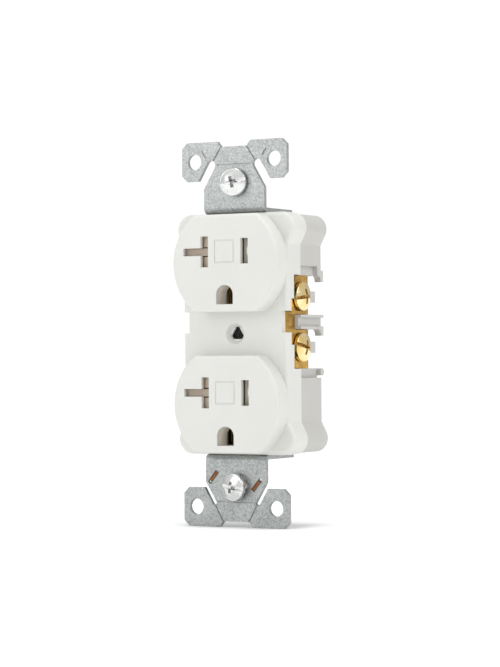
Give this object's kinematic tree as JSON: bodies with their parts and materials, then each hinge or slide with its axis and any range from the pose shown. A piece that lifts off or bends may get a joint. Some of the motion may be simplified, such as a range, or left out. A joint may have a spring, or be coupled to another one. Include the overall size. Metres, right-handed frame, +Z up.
{
  "type": "duplex wall outlet",
  "caption": "Duplex wall outlet on a steel strap: T-slot faces with sprung shutters over brass grips, side terminal screws and loose mounting screws.",
  "frame": {"origin": "on the wall-plate screw's axis, in the plane of the ears' rear faces, which is the wall's surface", "axes": "+X to the right of the faces, +Y into the wall, +Z up along the strap"},
  "size_m": [0.0374, 0.0272, 0.1068],
  "materials": {
    "white_plastic": "smooth moulded nylon with a soft sheen",
    "grey_plastic": "light grey moulded body",
    "beige_plastic": "beige moulded shutter parts",
    "nylon": "white nylon strip",
    "galvanised": "galvanised sheet with a fine grain",
    "zinc": "bright zinc plating",
    "nickel": "nickel plating",
    "spring_steel": "drawn spring wire",
    "brass": "bright brass",
    "bronze": "brown phosphor bronze",
    "green_plate": "green dyed plating"
  },
  "bodies": {
    "base": {"front_cover": "white_plastic", "outlet_face_upper": "white_plastic", "outlet_face_lower": "white_plastic", "rear_body": "grey_plastic", "rear_socket_upper": "grey_plastic", "rear_end_upper": "grey_plastic", "rear_end_lower": "grey_plastic", "mounting_strap": "galvanised", "wallplate_post": "galvanised", "line_contact": "brass", "neutral_contact": "brass", "ground_contact_upper": "brass", "ground_contact_lower": "brass", "ground_rivets": "galvanised", "ground_clip": "bronze", "assembly_screws": "zinc", "shutter_tray_upper": "beige_plastic", "shutter_tray_lower": "beige_plastic", "shutter_spring_upper": "spring_steel", "shutter_spring_lower": "spring_steel"},
    "line_terminal_upper": {"line_screw_upper": "brass"},
    "line_terminal_lower": {"line_screw_lower": "brass"},
    "neutral_terminal_upper": {"neutral_screw_upper": "nickel"},
    "neutral_terminal_lower": {"neutral_screw_lower": "nickel"},
    "earth_terminal": {"ground_screw": "green_plate"},
    "retainer_top": {"screw_retainer_top": "nylon"},
    "retainer_bottom": {"screw_retainer_bottom": "nylon"},
    "box_screw_top": {"mounting_screw_top": "zinc"},
    "box_screw_bottom": {"mounting_screw_bottom": "zinc"},
    "shutter_upper": {"shutter_slider_upper": "beige_plastic"},
    "shutter_lower": {"shutter_slider_lower": "beige_plastic"}
  },
  "joints": [
    {"name": "shutter_upper_slide", "type": "slide", "parent": "base", "child": "shutter_upper", "axis": [1, 0, 0], "range_m": [0, 0.003], "stiffness_N_per_m": 300, "springref_m": -0.002, "deforming": ["shutter_spring_upper"]},
    {"name": "shutter_lower_slide", "type": "slide", "parent": "base", "child": "shutter_lower", "axis": [1, 0, 0], "range_m": [0, 0.003], "stiffness_N_per_m": 300, "springref_m": -0.002, "deforming": ["shutter_spring_lower"]},
    {"name": "line_screw_upper_out", "type": "slide", "parent": "base", "child": "line_terminal_upper", "axis": [1, 0, 0], "range_m": [0, 0.003]},
    {"name": "line_screw_lower_out", "type": "slide", "parent": "base", "child": "line_terminal_lower", "axis": [1, 0, 0], "range_m": [0, 0.003]},
    {"name": "neutral_screw_upper_out", "type": "slide", "parent": "base", "child": "neutral_terminal_upper", "axis": [-1, 0, 0], "range_m": [0, 0.003]},
    {"name": "neutral_screw_lower_out", "type": "slide", "parent": "base", "child": "neutral_terminal_lower", "axis": [-1, 0, 0], "range_m": [0, 0.003]},
    {"name": "earth_screw_out", "type": "slide", "parent": "base", "child": "earth_terminal", "axis": [-1, 0, 0], "range_m": [0, 0.003]},
    {"name": "box_screw_top_tilt", "type": "hinge", "parent": "base", "child": "retainer_top", "pos_m": [0, 0.00119, 0.04185], "axis": [0, 0, 1], "range_deg": [-18, 0]},
    {"name": "box_screw_top_out", "type": "slide", "parent": "retainer_top", "child": "box_screw_top", "axis": [0.1564, -0.9877, 0], "range_m": [0, 0.004]},
    {"name": "box_screw_bottom_tilt", "type": "hinge", "parent": "base", "child": "retainer_bottom", "pos_m": [0.001, 0.00169, -0.04235], "axis": [0, 0, 1], "range_deg": [0, 22]},
    {"name": "box_screw_bottom_out", "type": "slide", "parent": "retainer_bottom", "child": "box_screw_bottom", "axis": [-0.1908, -0.9816, 0], "range_m": [0, 0.004]}
  ]
}
